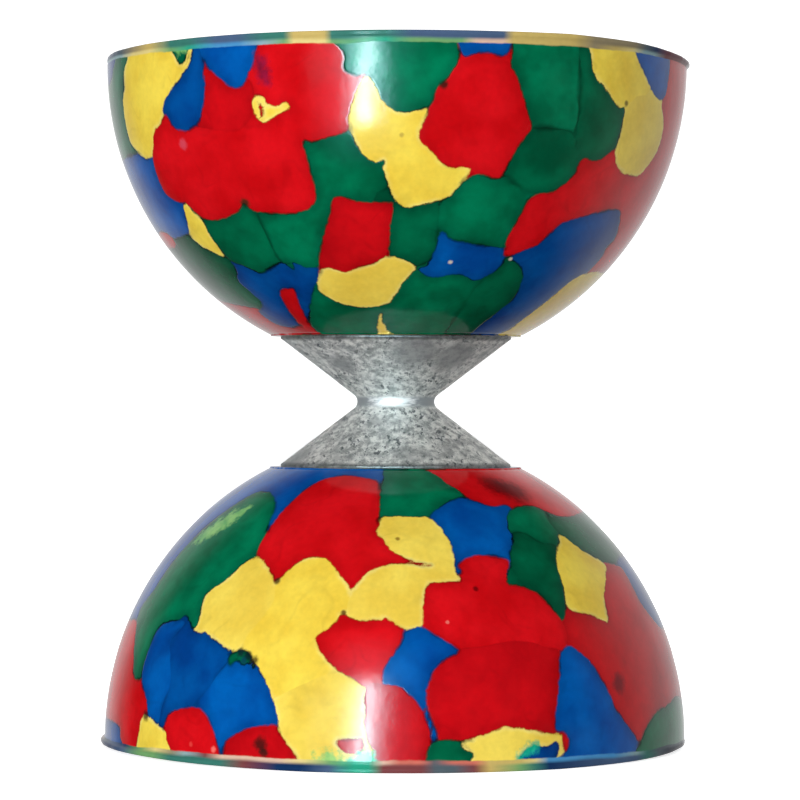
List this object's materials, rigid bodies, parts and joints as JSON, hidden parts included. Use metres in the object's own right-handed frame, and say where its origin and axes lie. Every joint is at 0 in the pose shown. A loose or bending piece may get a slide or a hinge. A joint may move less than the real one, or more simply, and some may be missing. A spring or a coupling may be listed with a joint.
{
  "type": "diabolo",
  "caption": "Fixed-axle juggling diabolo: marbled rubber cups clamped base to base on a double-cone metal axle, spun on a string.",
  "frame": {"origin": "middle of the axle's waist, on the spin axis, which is also the middle of the whole diabolo", "axes": "+Z along the spin axis, towards the upper cup's mouth; +X to the right and +Y away, seen from the front"},
  "size_m": [0.1044, 0.1044, 0.123],
  "materials": {
    "marbled_rubber": "glossy moulded, mottled in red, green, blue and yellow lumps",
    "cast_aluminium": "scratched satin, polished at the waist",
    "zinc_plated_steel": "bright zinc plating"
  },
  "bodies": {
    "root": {"axle": "cast_aluminium", "upper_cup": "marbled_rubber", "upper_clamp_washer": "zinc_plated_steel", "upper_spring_washer": "zinc_plated_steel", "upper_bolt": "zinc_plated_steel", "lower_cup": "marbled_rubber", "lower_clamp_washer": "zinc_plated_steel", "lower_spring_washer": "zinc_plated_steel", "lower_bolt": "zinc_plated_steel"}
  },
  "joints": []
}
